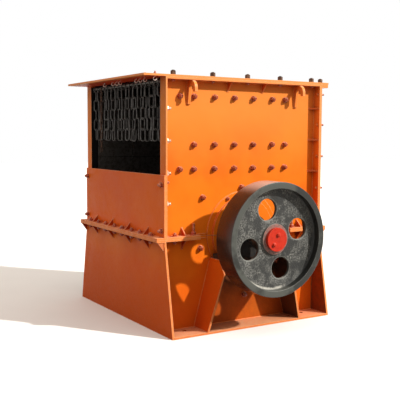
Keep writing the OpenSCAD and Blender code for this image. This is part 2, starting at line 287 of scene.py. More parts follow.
def innerShadeMask(place, faces):  # 1 on the inner faces of the base ends and ribs, for painted shade
    y, z = axesOf(place)[1:]
    inward = isBelow(product(faces[1], y), -0.2)
    return product(inward, isBelow(z, lowFlange[0].z + skin))


def overhangShadeMask(place, faces):  # 1 under the roof's front overhang, fading towards its lip, for painted shade
    y, z = axesOf(place)[1:]
    depth = frontPlate[0].y - roof[0].y
    behind = between(y, roof[0].y + 0.01, roof[0].y + depth * 0.4)
    return product(behind, isBelow(faces[2], -0.9), isAbove(z, roof[0].z - skin))


def pedestalShadeMask(place, look):  # 1 between the two ribs of each pedestal, less towards the floor, for painted shade
    x, y, z = axesOf(place)
    slope = (pedestal[1].y - seatEnd) / (pedestal[1].z - pedestal[0].z)
    ribInside = calc("MULTIPLY_ADD", z, -slope, pedestal[1].y - 0.012)
    within = isBelow(absolute(y), ribInside)
    outside = isAbove(absolute(x), wall[1].x - skin)
    low = between(z, *look["pedestalShadeHeights"], 0.42, 1.0)
    return product(within, outside, low, isAbove(z, 0.02), isBelow(z, pedestal[1].z + skin))


def heightAndFacingTones(look, place, faces, mottle, film, colour):  # paler top, painted shade low down and on the feed side, thin coat and painted highlight on the sheared edges
    height = axesOf(place)[2]
    ends = between(absolute(faces[1]), 0.5, 0.9, 0.25, 0.95)
    lessFeedShade = between(height, *look["underSplitHeights"])
    lessFeedShade = product(lessFeedShade, isBelow(height, look["splitHeight"]), 0.85)
    feedShade = between(faces[1], -0.95, -0.60, look["feedShare"], 0.0)
    belowSill = between(height, *look["sillHeights"], 1.0, 0.0)
    return layered(
        colour, look,
        (between(height, *look["palerHeights"]), "paler"),
        (product(between(height, *look["lowShadeHeights"], 1.0, 0.0), ends), "low"),
        (product(feedShade, belowSill, minus(1.0, lessFeedShade), film), "feedSide"),
        (product(shearedMask(place, faces), between(mottle, 0.3, 0.7, 0.65, 0.35)), "thinEdgeAndSheen"),
    )


def paintedShade(tree, look, place, faces, mottle, colour):  # painted shade: in corners, on the inner faces of the base ends, under the roof's overhang and between the pedestal ribs
    corner = addNode(tree, "ShaderNodeAmbientOcclusion", {"Distance": 0.30}, samples=6).outputs["AO"]
    return layered(
        colour, look,
        (between(corner, 0.12, 0.60, 0.75, 0.0), "cornerShade"),
        (product(innerShadeMask(place, faces), between(mottle, 0.3, 0.7, 0.90, 0.76)), "innerShade"),
        (product(overhangShadeMask(place, faces), 0.9), "overhang"),
        (product(pedestalShadeMask(place, look), between(mottle, 0.30, 0.60, 0.80, 1.0)), "pedestalShade"),
    )


def paintMaterial(name, look, bolt=False):
    material, tree, place = newMaterial(name, Specular_IOR_Level=look["shine"])
    faces = axesOf(flatNormal(tree))
    broad = between(noise(place, 0.55, 3.0, 0.6), 0.36, 0.70)
    mottle = noise(place, 0.035, 4.0, 0.65)
    film = between(noise(place, 0.011, 3.0, 0.6), 0.30, 0.62, 0.55, 1.0)
    colour = mixColour(broad, look["colour"], look["thin"])
    colour = mixColour(between(mottle, 0.55, 0.78, 0.0, 0.35), colour, look["thin"])
    if not bolt:
        colour = heightAndFacingTones(look, place, faces, mottle, film, colour)
    settled = product(between(faces[2], 0.55, 0.95, 0.0, look["dustShare"]), film)
    chips = between(noise(place, 0.02, 3.0, 0.7), 0.38, 0.62)
    edge = product(edgeMask(tree, 0.008, 0.25), between(chips, 0.0, 1.0, 0.45, 0.95))
    colour = layered(colour, look, (settled, "dust"), (edge, "edgeWearAndSheen"))
    rough = between(mottle, 0.3, 0.8, look["gloss"] - 0.04, look["gloss"] + 0.16)
    rough = calc("MAXIMUM", rough, product(settled, 0.9))
    if not bolt:
        colour = paintedShade(tree, look, place, faces, mottle, colour)
        inside = insideMask(place, look)
        colour = mixColour(inside, colour, look["inside"])
        rough = calc("MAXIMUM", rough, product(inside, 0.75))
    wave = addBump(noise(place, 0.35, 2.0, 0.4), 0.012, roundedNormal(tree, 0.003))
    peel = addBump(noise(place, 0.0035, 2.0, 0.5), 0.00022, wave)
    return linked(material, Base_Color=colour, Roughness=rough, Normal=peel)


# Cast iron of the flywheels: its painted highlights, painted shade and dusty places follow the wheel's own
# sizes

wheel = {
    "rim": 0.046,
    "webBack": 0.098,  # from the wheel's inner side
    "webThickness": 0.026,
    "hub": 0.110,
    "hubLength": 0.140,
    "bore": 0.0553,
    "fillet": 0.016,
    "edge": 0.005,
    "hole": 0.0765,
    "holeCircle": 0.2195,
    "holeTurn": 16,  # degrees
}

castLook = {
    "face": (0.076, 0.081, 0.071),  # brushed-on dark paint over turned iron
    "smearedAndShaded": (0.01824, 0.01944, 0.01704),  # the same, darker: oily smears, with painted shade towards the rear
    "tread": (0.032, 0.018, 0.015),
    # dust, and a painted highlight, on the top of the tread
    "treadDustAndSheen": (0.60, 0.44, 0.38),
    "web": (0.028, 0.029, 0.027),
    "gritAndGlint": (0.33, 0.33, 0.30),  # pale high points of the rough casting, partly painted glints
    "filletHighlight": (0.42, 0.41, 0.36),  # painted highlight in the lower corner between web and rim
    "shade": (0.010, 0.010, 0.009),  # inner faces that look forward
    "lip": (0.24, 0.25, 0.225),  # pale rims of the holes: a painted highlight of the lips
    "worn": (0.34, 0.34, 0.31),
    "overspray": (0.31, 0.145, 0.12),  # red mist from painting the end cap
}


def lipMask(across, up):  # 1 on a thin ring round each of the four holes
    nearest = None
    for quarter in range(4):
        angle = radians(wheel["holeTurn"] + 90 * quarter)
        aside = minus(across, wheel["holeCircle"] * cos(angle))
        above = minus(up, wheel["holeCircle"] * sin(angle))
        away = distance(aside, above)
        nearest = away if nearest is None else calc("MINIMUM", nearest, away)
    return between(nearest, wheel["hole"] + 0.004, wheel["hole"] + 0.010, 1.0, 0.0)


def filletHighlightMask(radius, inner, up, across, patch):  # 1 in the lower front corner between web and rim, for the painted highlight
    return product(
        between(radius, inner - 0.022, inner - 0.012),
        between(up, -0.16, -0.31),
        between(radius, inner - 0.006, inner + 0.001, 1.0, 0.0),
        between(patch, 0.40, 0.56, 0.15, 1.0),
        between(across, 0.04, 0.14, 1.0, 0.0),
    )


def castMaterial():
    material, tree, place = newMaterial("castIron", Specular_IOR_Level=0.35)
    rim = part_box("flywheel_right")
    outer, centre = rim[1].y, middleOf(rim).z
    inner, hub = outer - wheel["rim"], wheel["hub"]
    x, y, z = axesOf(place)
    faces = axesOf(flatNormal(tree))
    up = minus(z, centre)
    radius = distance(y, up)
    onTread = between(radius, outer - 0.004, outer - 0.001)
    onHub = between(radius, hub + 0.004, hub + 0.008, 1.0, 0.0)
    turned = calc("MAXIMUM", between(radius, inner - 0.006, inner + 0.002), onHub)
    rough = noise(place, 0.012, 5.0, 0.75)
    patch = noise(place, 0.085, 3.0, 0.6)
    # painted shade of the rim: the web and face darker towards the rear
    rearShade = between(y, -0.05, 0.38)
    clouds = between(patch, 0.40, 0.58, 0.05, 0.95)
    clouds = calc("SUBTRACT", clouds, product(rearShade, 0.35), clamp=True)
    gritAndGlintShare = product(between(rough, 0.40, 0.70), clouds)
    smearAndShade = calc("ADD", noise(place, 0.16, 3.0, 0.6), product(rearShade, 0.24))
    web = mixColour(gritAndGlintShare, castLook["web"], castLook["gritAndGlint"])
    face = mixColour(between(smearAndShade, 0.48, 0.68), castLook["face"], castLook["smearedAndShaded"])
    shaded = between(faces[1], -0.60, -0.30, 0.85, 0.0)
    shaded = product(isBelow(radius, outer - 0.01), isAbove(radius, hub + 0.010), shaded)
    atHub = product(onHub, between(absolute(x), endCap[0].x - 0.004, endCap[0].x - 0.001))
    mist = between(noise(place, 0.02, 4.0, 0.6), 0.36, 0.60, 0.35, 0.95)
    colour = layered(
        mixColour(turned, web, face), castLook,
        (filletHighlightMask(radius, inner, up, y, patch), "filletHighlight"),
        (product(lipMask(y, up), 0.8), "lip"),
        (shaded, "shade"),
        (product(atHub, mist), "overspray"),
        (onTread, "tread"),
        (product(between(faces[2], 0.80, 0.985, 0.0, 0.85), onTread), "treadDustAndSheen"),
        (product(edgeMask(tree, 0.006, 0.2), 0.7), "worn"),
    )
    gloss = minus(between(turned, 0.0, 1.0, 0.55, 0.42), product(onTread, 0.18))
    depth = product(rough, between(turned, 0.0, 1.0, 1.0, 0.10))
    normal = addBump(depth, 0.006, roundedNormal(tree, 0.003))
    return linked(material, Base_Color=colour, Roughness=gloss, Normal=normal)


# Plain paints and metals

def housingMaterial():  # dark paint on the cast bearing housings, dulled with grease
    material, tree, place = newMaterial("housingBlack", Specular_IOR_Level=0.25)
    cloud = noise(place, 0.05, 4.0, 0.65)
    colour = mixColour(between(cloud, 0.38, 0.66), (0.016, 0.015, 0.014), (0.034, 0.027, 0.021))
    colour = mixColour(product(edgeMask(tree, 0.005, 0.2), 0.5), colour, (0.12, 0.11, 0.10))
    grain = addBump(noise(place, 0.006, 4.0, 0.7), 0.0012, roundedNormal(tree, 0.004))
    return linked(material, Base_Color=colour, Roughness=between(cloud, 0.3, 0.7, 0.45, 0.70), Normal=grain)


def metalMaterial(name, colour, second, roughness, grain, depth, metallic):
    material, tree, place = newMaterial(name, Metallic=metallic, Specular_IOR_Level=0.5)
    spots = noise(place, grain * 6, 4.0, 0.65)
    mixed = mixColour(between(spots, 0.38, 0.68), colour, second)
    rough = between(spots, 0.3, 0.7, roughness, roughness + 0.2)
    fine = addBump(noise(place, grain, 3.0, 0.6), depth, roundedNormal(tree, 0.0012))
    return linked(material, Base_Color=mixed, Roughness=rough, Normal=fine)


def capMaterial():
    material, tree, place = newMaterial("capRed", Specular_IOR_Level=0.2)
    cloud = noise(place, 0.03, 3.0, 0.6)
    share = between(cloud, 0.4, 0.75, 0.0, 0.6)
    colour = mixColour(share, (0.60, 0.032, 0.012), (0.38, 0.020, 0.010))
    colour = mixColour(edgeMask(tree, 0.003, 0.2), colour, (0.85, 0.16, 0.09))
    fine = addBump(noise(place, 0.003), 0.0002, roundedNormal(tree, 0.003))
    return linked(material, Base_Color=colour, Roughness=between(cloud, 0.3, 0.7, 0.28, 0.42), Normal=fine)


gussetShadePaint = dict(  # darker and redder than the plates: painted shade on the gussets
    paintLook, colour=(0.60, 0.080, 0.008), thin=(0.44, 0.050, 0.006), paler=(0.78, 0.170, 0.026),
)
boltPaint = dict(
    paintLook, colour=(0.36, 0.034, 0.004), thin=(0.22, 0.018, 0.004), edgeWearAndSheen=(0.95, 0.36, 0.17),
    dustShare=0.5, gloss=0.32, shine=0.45,
)

finish = {
    "orange_paint": paintMaterial("orangePaint", paintLook),
    "boltPaint": paintMaterial("boltPaint", boltPaint, bolt=True),
    "gussetShadePaint": paintMaterial("gussetShadePaint", gussetShadePaint),
    "castIron": castMaterial(),
    "black_paint": housingMaterial(),
    "red_paint": capMaterial(),
}
metals = {  # name, two colours, roughness, size and depth of the grain, share of metal
    "bare_steel": ("wornSteel", (0.12, 0.11, 0.10), (0.06, 0.045, 0.035), 0.42, 0.004, 0.0003, 0.6),
    "zinc": ("zincPlate", (0.74, 0.60, 0.46), (0.62, 0.34, 0.20), 0.36, 0.003, 0.0002, 0.5),
    # paler than zinc: a painted highlight on the hooks in the roof's shade
    "hookZincAndHighlight": ("hookZincAndHighlight", (0.95, 0.78, 0.70), (0.85, 0.48, 0.36), 0.34, 0.003, 0.0002, 0.1),
    "chain_steel": ("chainSteel", (0.066, 0.061, 0.057), (0.028, 0.023, 0.020), 0.45, 0.004, 0.0005, 0.4),
    "rust": ("rustySteel", (0.15, 0.075, 0.040), (0.06, 0.03, 0.02), 0.7, 0.004, 0.0006, 0.1),
    "rotor_iron": ("rotorIron", (0.07, 0.06, 0.055), (0.03, 0.022, 0.018), 0.55, 0.006, 0.0008, 0.5),
}
finish.update({slot: metalMaterial(*values) for slot, values in metals.items()})
gussets = ("casing_gussets", "base_gussets")


def coverCadNodes():  # each CAD piece keeps its slot, with the full material in place of the plain one
    for name, node in nodes.items():
        for index, plain in enumerate(node.data.materials):
            slot = "gussetShadePaint" if name in gussets else plain.name.split(".")[0]
            if slot in finish:
                node.data.materials[index] = finish[slot]


coverCadNodes()
stage("materials made")


# Geometry Nodes: short ways to write the trees

def geoNode(tree, kind, inputs=None, **settings):
    return nodeOut(tree, "GeometryNode" + kind, inputs, **settings)


def newTree(name, sizes):
    tree = bpy.data.node_groups.new(name, "GeometryNodeTree")
    tree.is_modifier = True
    tree.interface.new_socket("Geometry", in_out="INPUT", socket_type="NodeSocketGeometry")
    tree.interface.new_socket("Geometry", in_out="OUTPUT", socket_type="NodeSocketGeometry")
    for label, value in sizes.items():
        kind = "NodeSocketInt" if isinstance(value, int) else "NodeSocketFloat"
        tree.interface.new_socket(label, in_out="INPUT", socket_type=kind).default_value = value
    tree.interface.new_socket("Metal", in_out="INPUT", socket_type="NodeSocketMaterial")
    return tree, addNode(tree, "NodeGroupInput").outputs


def closeTree(geometry, group):
    tree = treeOf(geometry)
    real = geoNode(tree, "RealizeInstances", {0: geometry})
    coated = geoNode(tree, "SetMaterial", {"Geometry": real, "Material": group["Metal"]})
    addNode(tree, "NodeGroupOutput", {0: coated})
    return tree


def joined(*parts):
    node = addNode(treeOf(*parts), "GeometryNodeJoinGeometry")
    for part in reversed(parts):
        treeOf(part).links.new(part, node.inputs[0])
    return node.outputs[0]


def combined(tree, x=0.0, y=0.0, z=0.0):
    return nodeOut(tree, "ShaderNodeCombineXYZ", {0: x, 1: y, 2: z})


def moved(geometry, z=0.0, turn=(0.0, 0.0, 0.0)):
    tree = treeOf(geometry)
    inputs = {"Geometry": geometry, "Translation": combined(tree, z=z), "Rotation": turn}
    return geoNode(tree, "Transform", inputs)


def anyBetween(tree, low, high, seed):
    inputs = {2: low, 3: high, "Seed": seed}
    return addNode(tree, "FunctionNodeRandomValue", inputs, data_type="FLOAT").outputs[1]


def halfOf(value):
    return calc("DIVIDE", value, 2.0)


def cylinder(tree, vertices, radius, depth, segments=1):
    inputs = {"Vertices": vertices, "Side Segments": segments, "Radius": radius, "Depth": depth}
    return addNode(tree, "GeometryNodeMeshCylinder", inputs)


def circle(tree, resolution, radius):
    inputs = {"Resolution": resolution, "Radius": radius}
    return geoNode(tree, "CurvePrimitiveCircle", inputs, mode="RADIUS")


def swept(path, profile, **inputs):
    inputs.update({"Curve": path, "Profile Curve": profile})
    return geoNode(treeOf(path), "CurveToMesh", inputs)


def tapered(geometry, selection, scale):
    inputs = {"Geometry": geometry, "Selection": selection, "Scale": scale}
    return geoNode(treeOf(geometry), "ScaleElements", inputs, domain="FACE")


def swollen(geometry, axes, share):  # moves each point away from the Z axis by a share of its distance
    tree = treeOf(geometry)
    offset = scaled(combined(tree, axes[0], axes[1]), share)
    return geoNode(tree, "SetPosition", {"Geometry": geometry, "Offset": offset})


def setOnPoints(tree, group, shape):  # the points say which way the shape's Z looks and how far it is turned
    facing = geoNode(tree, "InputNamedAttribute", {0: "facing"}, data_type="FLOAT_VECTOR")
    twist = geoNode(tree, "InputNamedAttribute", {0: "twist"}, data_type="FLOAT")
    aligned = nodeOut(tree, "FunctionNodeAlignRotationToVector", {"Vector": facing}, axis="Z")
    chance = anyBetween(tree, 0.0, group["Loose turn"], group["Seed"])
    inputs = {"Axis": (0, 0, 1), "Angle": calc("ADD", twist, chance)}
    spin = nodeOut(tree, "FunctionNodeAxisAngleToRotation", inputs)
    inputs = {"Rotation": aligned, "Rotate By": spin}
    turned = nodeOut(tree, "FunctionNodeRotateRotation", inputs, rotation_space="LOCAL")
    inputs = {"Points": group["Geometry"], "Instance": shape, "Rotation": turned}
    return closeTree(geoNode(tree, "InstanceOnPoints", inputs), group)


nutKeys = ("Across flats", "Head height", "Stud radius", "Washer radius", "Washer thickness")
nutSizes = {
    "large": (0.036, 0.020, 0.012, 0.022, 0.004),
    "middle": (0.030, 0.016, 0.010, 0.0185, 0.003),
    "small": (0.024, 0.012, 0.008, 0.015, 0.003),
    "tiny": (0.017, 0.007, 0.006, 0.011, 0.002),
}
threadSizes = {"Stud length": 0.012, "Thread pitch": 0.003, "Loose turn": 6.283, "Seed": 3}


def fastenerTree():  # washer, chamfered hexagon and the threaded end that stands out of it
    tree, group = newTree("fasteners", {**dict(zip(nutKeys, nutSizes["large"])), **threadSizes})
    height, thickness = group["Head height"], group["Washer thickness"]
    length, pitch = group["Stud length"], group["Thread pitch"]
    washer = cylinder(tree, 24, group["Washer radius"], thickness).outputs[0]
    washer = moved(washer, z=halfOf(thickness))
    body, chamfer = product(height, 0.82), product(height, 0.18)
    prism = cylinder(tree, 6, product(group["Across flats"], 1 / sqrt(3)), body).outputs
    inputs = {"Mesh": prism["Mesh"], "Selection": prism["Top"], "Offset Scale": chamfer}
    raised = addNode(tree, "GeometryNodeExtrudeMesh", inputs, mode="FACES").outputs
    nut = tapered(raised["Mesh"], raised["Top"], 0.86)
    nut = moved(nut, z=calc("ADD", thickness, halfOf(body)))
    turns = nodeOut(tree, "FunctionNodeFloatToInt", {0: calc("DIVIDE", length, pitch)})
    rod = cylinder(tree, 14, group["Stud radius"], length, calc("MAXIMUM", product(turns, 2.0), 2.0)).outputs
    axes = axesOf(geoNode(tree, "InputPosition"))
    wave = calc("PINGPONG", axes[2], halfOf(pitch))
    sink = calc("DIVIDE", product(wave, -1.0), group["Stud radius"])
    thread = tapered(swollen(rod["Mesh"], axes, sink), rod["Top"], 0.84)
    reach = calc("ADD", calc("ADD", height, thickness), length)
    thread = moved(thread, z=minus(reach, halfOf(length)))
    return setOnPoints(tree, group, joined(washer, nut, thread))


linkSizes = {"Length": 0.090, "Width": 0.043, "Wire": 0.011, "Loose turn": 0.20, "Seed": 11}
hookSizes = {"Radius": 0.0115, "Wire": 0.007, "Shank": 0.010, "Loose turn": 0.5, "Seed": 5}
upright = (radians(90), 0.0, 0.0)


def linkTree():  # one stadium-shaped chain link, its long side along Z
    tree, group = newTree("chainLinks", linkSizes)
    long = minus(group["Length"], group["Wire"])
    wide = minus(group["Width"], group["Wire"])
    outline = geoNode(tree, "CurvePrimitiveQuadrilateral", {"Width": wide, "Height": long})
    inputs = {"Curve": outline, "Radius": product(wide, 0.499), "Count": 7}
    outline = geoNode(tree, "FilletCurve", inputs, mode="POLY")
    link = swept(outline, circle(tree, 8, halfOf(group["Wire"])))
    return setOnPoints(tree, group, moved(link, turn=upright))


def hookTree():  # an open ring with a straight shank, as bent from round bar
    tree, group = newTree("hooks", hookSizes)
    start, sweep = radians(90), radians(285)
    inputs = {"Resolution": 18, "Radius": group["Radius"], "Start Angle": start, "Sweep Angle": sweep}
    arc = geoNode(tree, "CurveArc", inputs, mode="RADIUS")
    ring = swept(arc, circle(tree, 8, halfOf(group["Wire"])), **{"Fill Caps": True})
    shank = cylinder(tree, 10, halfOf(group["Wire"]), group["Shank"]).outputs[0]
    shank = moved(shank, z=calc("ADD", group["Radius"], halfOf(group["Shank"])))
    return setOnPoints(tree, group, joined(moved(ring, turn=upright), shank))


beadSizes = {"Leg": 0.0045, "Ripple": 0.007, "Unevenness": 0.18, "Seed": 7}


def beadTree():  # a rippled bead along every edge it is given
    tree, group = newTree("weldBeads", beadSizes)
    path = geoNode(tree, "MeshToCurve", {"Mesh": group["Geometry"]})
    path = geoNode(tree, "ResampleCurve", {"Curve": path, "Length": group["Ripple"]}, mode="LENGTH")
    low, high = (calc(how, 1.0, group["Unevenness"]) for how in ("SUBTRACT", "ADD"))
    share = anyBetween(tree, low, high, group["Seed"])
    path = geoNode(tree, "SetCurveRadius", {"Curve": path, "Radius": product(share, group["Leg"])})
    radius = geoNode(tree, "InputRadius")
    bead = swept(path, circle(tree, 6, 1.0), **{"Scale": radius, "Fill Caps": True})
    return closeTree(bead, group)


wheelSizes = {
    "Sweep radius": 0.2,
    "Steps": 160,
    "Hole radius": wheel["hole"],
    "Hole circle": wheel["holeCircle"],
    "Hole turn": radians(wheel["holeTurn"]),
    "Web middle": wheel["webBack"] + wheel["webThickness"] / 2,
    "Web thickness": wheel["webThickness"],
    "Lip": 0.006,
    "Side": 1.0,
}


def holePlug(tree, group):  # flares where it leaves the web, so that the hole gets round lips
    lip, depth = group["Lip"], product(group["Web thickness"], 2.0)
    plug = cylinder(tree, 48, group["Hole radius"], depth, 24).outputs["Mesh"]
    axes = axesOf(geoNode(tree, "InputPosition"))
    straight = minus(halfOf(group["Web thickness"]), lip)
    past = calc("MAXIMUM", minus(absolute(axes[2]), straight), 0.0)
    flare = product(calc("POWER", calc("DIVIDE", past, lip), 2.0), lip)
    return swollen(plug, axes, calc("DIVIDE", flare, group["Hole radius"]))


def wheelTree():  # sweeps the half section round the shaft, then cuts the four holes
    tree, group = newTree("flywheels", wheelSizes)
    section = geoNode(tree, "MeshToCurve", {"Mesh": group["Geometry"]})
    body = swept(circle(tree, group["Steps"], group["Sweep radius"]), section)
    centres = geoNode(tree, "MeshCircle", {"Vertices": 4, "Radius": group["Hole circle"]})
    centres = moved(centres, z=group["Web middle"], turn=combined(tree, z=group["Hole turn"]))
    plugs = geoNode(tree, "InstanceOnPoints", {"Points": centres, "Instance": holePlug(tree, group)})
    plugs = geoNode(tree, "RealizeInstances", {0: plugs})
    inputs = {"Mesh 1": body, "Mesh 2": plugs}
    cut = geoNode(tree, "MeshBoolean", inputs, operation="DIFFERENCE", solver="EXACT")
    tilt = combined(tree, y=product(group["Side"], pi / 2))
    return closeTree(moved(cut, turn=tilt), group)


fasteners = fastenerTree()
links = linkTree()
hooks = hookTree()
beads = beadTree()
wheels = wheelTree()
stage("trees built")


# From points or lines to a plain mesh that rides on a body

def grow(name, tree, mesh, metal, body, slot, **values):
    piece = addObject(name, mesh)
    modifier = piece.modifiers.new("grow", "NODES")
    modifier.node_group = tree
    values["Metal"] = finish[metal]
    for socket in tree.interface.items_tree:
        if socket.in_out == "INPUT" and socket.name in values:
            modifier[socket.identifier] = values[socket.name]
    piece.update_tag()
    plain = bpy.data.meshes.new_from_object(piece.evaluated_get(bpy.context.evaluated_depsgraph_get()))
    piece.modifiers.remove(modifier)
    piece.data = plain
    plain.name = name
    for attribute in [a.name for a in plain.attributes if a.name in ("facing", "twist")]:
        plain.attributes.remove(plain.attributes[attribute])
    plain.polygons.foreach_set("use_smooth", [True] * len(plain.polygons))
    plain.set_sharp_from_angle(angle=radians(34))
    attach(piece, body)
    print(f"  {name}: {sum(len(p.vertices) - 2 for p in plain.polygons)} triangles")
    return piece


def pointMesh(name, points):  # points are (place, facing, twist)
    mesh = bpy.data.meshes.new(name)
    mesh.from_pydata([place for place, facing, twist in points], [], [])
    facing = mesh.attributes.new("facing", "FLOAT_VECTOR", "POINT")
    facing.data.foreach_set("vector", [value for point in points for value in point[1]])
    twist = mesh.attributes.new("twist", "FLOAT", "POINT")
    twist.data.foreach_set("value", [point[2] for point in points])
    return mesh


def lineMesh(name, lines):
    mesh = bpy.data.meshes.new(name)
    corners = [corner for line in lines for corner in line]
    edges, start = [], 0
    for line in lines:
        edges += [(start + i, start + i + 1) for i in range(len(line) - 1)]
        start += len(line)
    mesh.from_pydata(corners, edges, [])
    return mesh


toFront, toRear, toRight, toTop, toFloor = (0, -1, 0), (0, 1, 0), (1, 0, 0), (0, 0, 1), (0, 0, -1)


def pointing(places, way, twist=0.0):
    return [(place, way, twist) for place in places]


def bothSides(points):  # the same points on the left, looking the other way across
    mirrored = [((-x, y, z), (-fx, fy, fz), twist) for (x, y, z), (fx, fy, fz), twist in points]
    return points + mirrored


def looseParts(name):  # the lowest and highest corner of each separate solid in a CAD node
    shape = bmesh.new()
    shape.from_mesh(nodes[name].data)
    bmesh.ops.remove_doubles(shape, verts=shape.verts, dist=1e-5)
    left, boxes = set(shape.verts), []
    while left:
        todo, found = [left.pop()], []
        while todo:
            vert = todo.pop()
            found.append(vert.co.copy())
            for edge in vert.link_edges:
                other = edge.other_vert(vert)
                if other in left:
                    left.remove(other)
                    todo.append(other)
        boxes.append([[pick(co[i] for co in found) for i in range(3)] for pick in (min, max)])
    shape.free()
    return boxes


def addFasteners(
    name, points, size, stud, seed, metal="boltPaint", body="frame", slot="orange_paint", **changes,
):
    values = {**dict(zip(nutKeys, nutSizes[size])), "Stud length": stud, "Seed": seed, **changes}
    grow(name, fasteners, pointMesh(name + "Points", points), metal, body, slot, **values)


# Bolts through the side walls, which hold the wear plates inside

liner = {
    "rows": (0.112, 0.452, 0.626),  # below the top of the wall
    "columns": (-0.427, -0.253, -0.080, 0.091, 0.267, 0.389),
    "frontColumn": -0.544,  # has no bolt in the middle row
    "lower": ((-0.351, 0.960), (0.351, 0.960), (-0.010, 1.023)),
    "base": ((-0.369, 0.591), (0.021, 0.208), (0.369, 0.591)),
    "end": 0.012,
}


def addLinerBolts():
    places = [(y, wall[1].z - drop) for drop in liner["rows"] for y in liner["columns"]]
    places += [(liner["frontColumn"], wall[1].z - liner["rows"][i]) for i in (0, 2)]
    places += liner["lower"] + liner["base"]
    points = pointing([(wall[1].x, y, z) for y, z in places], toRight)
    addFasteners("liner_bolts", bothSides(points), "large", liner["end"], 21)


# Bolts of the shaft cover, the posts, the plates and the roof

plates = {
    "postRows": (1.592, 1.368, 1.142, 0.928),
    "postSmall": 1.078,
    "frontRows": (1.064, 0.741),
    "rearRows": (1.730, 1.494, 1.248, 0.998, 0.741),
    "rearShift": 0.012,  # of the rear bolts, towards the edge of the flange
    "roofRows": (-0.616, -0.291, 0.013, 0.315, 0.621),
    "roofRear": (-0.620, -0.310, 0.0, 0.310, 0.620),
    "coverRing": 0.2965,
    "coverTurns": (-27.5, 27.5),  # degrees from the top
    "coverOut": 0.008,  # from the wall
}


def addPostBolts():
    nuts = pointing([(flangeMiddle, post[1].y, z) for z in plates["postRows"]], toRear)
    addFasteners("post_nuts", bothSides(nuts), "large", 0.020, 22, "zinc", slot="bare_steel")
    heads = pointing([(flangeMiddle, frontPlate[0].y, z) for z in plates["frontRows"]], toFront)
    heads += pointing([(flangeMiddle, post[1].y, plates["postSmall"])], toRear)
    addFasteners("plate_bolts", bothSides(heads), "middle", 0.012, 23)


def addRearBolts():
    rear = flangeMiddle + plates["rearShift"]
    heads = pointing([(rear, rearPost[0].y, z) for z in plates["rearRows"]], toFront)
    addFasteners("rear_flange_heads", bothSides(heads), "tiny", 0.003, 28, "orange_paint")
    nuts = pointing([(rear, rearPlate[1].y, z) for z in plates["rearRows"]], toRear)
    addFasteners("rear_plate_nuts", bothSides(nuts), "small", 0.020, 24)


def addRoofBolts():
    barMiddle = middleOf(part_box("top_rear_flange")).y
    tops = bothSides(pointing([(flangeMiddle, y, roof[1].z) for y in plates["roofRows"]], toTop))
    tops += pointing([(x, barMiddle, roof[1].z) for x in plates["roofRear"]], toTop)
    tall = {"Head height": 0.027, "Across flats": 0.033}
    addFasteners("roof_bolts", tops, "middle", 0.004, 25, "rust", **tall)
    nuts = pointing([(flangeMiddle, y, topFlange[0].z) for y in plates["roofRows"]], toFloor)
    addFasteners("roof_nuts", bothSides(nuts), "small", 0.004, 26, **{"Head height": 0.009})


def addCoverBolts():
    places = []
    for turn in plates["coverTurns"]:
        angle, reach = radians(90 + turn), plates["coverRing"]
        out = wall[1].x + plates["coverOut"]
        places.append((out, reach * cos(angle), axle + reach * sin(angle)))
    addFasteners("cover_bolts", bothSides(pointing(places, toRight)), "small", 0.006, 27)


# Bolts of the split line, between the gussets all round, with four tall clamping studs

split = {
    "sideRow": 0.600,
    "clampRow": 0.447,
    "clampStud": 0.062,
    "fromGusset": 0.28,  # share of the gap between two gussets
    "fromEnd": 0.02,  # of the flange
    "halfGusset": 0.005,
}


def splitColumns():  # two bolts in each gap between the gussets of the front, and one gap more at each end
    middle, front = split["halfGusset"], frontPlate[0].y + skin
    places = sorted(low[0] + middle for low, high in looseParts("casing_gussets") if high[1] < front)
    pitch = places[1] - places[0]
    gaps = [places[0] - pitch / 2] + [x + pitch / 2 for x in places[:-1]] + [places[-1] + pitch / 2]
    offset = pitch * (0.5 - split["fromGusset"])
    columns = [x + shift for x in gaps for shift in (-offset, offset)]
    return [x for x in columns if abs(x) < highFlange[1].x - split["fromEnd"]]


def addSplitBolts():
    edge = (frontPlate[0].y + highFlange[0].y) / 2
    columns = splitColumns()
    for name, height, way, stud, seed in (
        ("split_line_heads", highFlange[1].z, toTop, 0.008, 31),
        ("split_line_nuts", lowFlange[0].z, toFloor, 0.006, 32),
    ):
        points = pointing([(x, end * edge, height) for x in columns for end in (1, -1)], way)
        for end in (-1, 1):
            points += bothSides(pointing([(flangeMiddle, end * split["sideRow"], height)], way))
        addFasteners(name, points, "middle", stud, seed)
    clamps = [(flangeMiddle, end * split["clampRow"], highFlange[1].z) for end in (-1, 1)]
    addFasteners("clamp_studs", bothSides(pointing(clamps, toTop)), "large", split["clampStud"], 33)


# Bearing bolts and the two screws of each shaft end cap

bearing = {  # rows are from the shaft, lifts above the casting's lowest point
    "footRow": 0.245, "footLift": 0.032, "capRow": 0.195, "capLift": 0.030, "aside": 0.018,
}
bearingNut = {"Across flats": 0.046, "Head height": 0.024, "Stud radius": 0.015, "Washer radius": 0.026}
capScrews = ((0.007, 0.034), (-0.029, -0.034))  # behind the shaft's centre and above it


def addBearingBolts():
    base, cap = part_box("bearing_base_right"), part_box("bearing_cap_right")
    middle = middleOf(base).x
    foot, seat = middle + bearing["aside"], pedestal[1].z - seatThickness
    tops, nuts = [], []
    for end in (-1, 1):
        y = end * bearing["footRow"]
        tops.append((foot, y, base[0].z + bearing["footLift"]))
        tops.append((middle, end * bearing["capRow"], cap[0].z + bearing["capLift"]))
        nuts.append((foot, y, seat))
    tops, nuts = bothSides(pointing(tops, toTop)), bothSides(pointing(nuts, toFloor))
    addFasteners("bearing_bolts", tops, "large", 0.020, 41, "rust", slot="black_paint", **bearingNut)
    addFasteners("bearing_nuts", nuts, "large", 0.014, 43, **bearingNut)


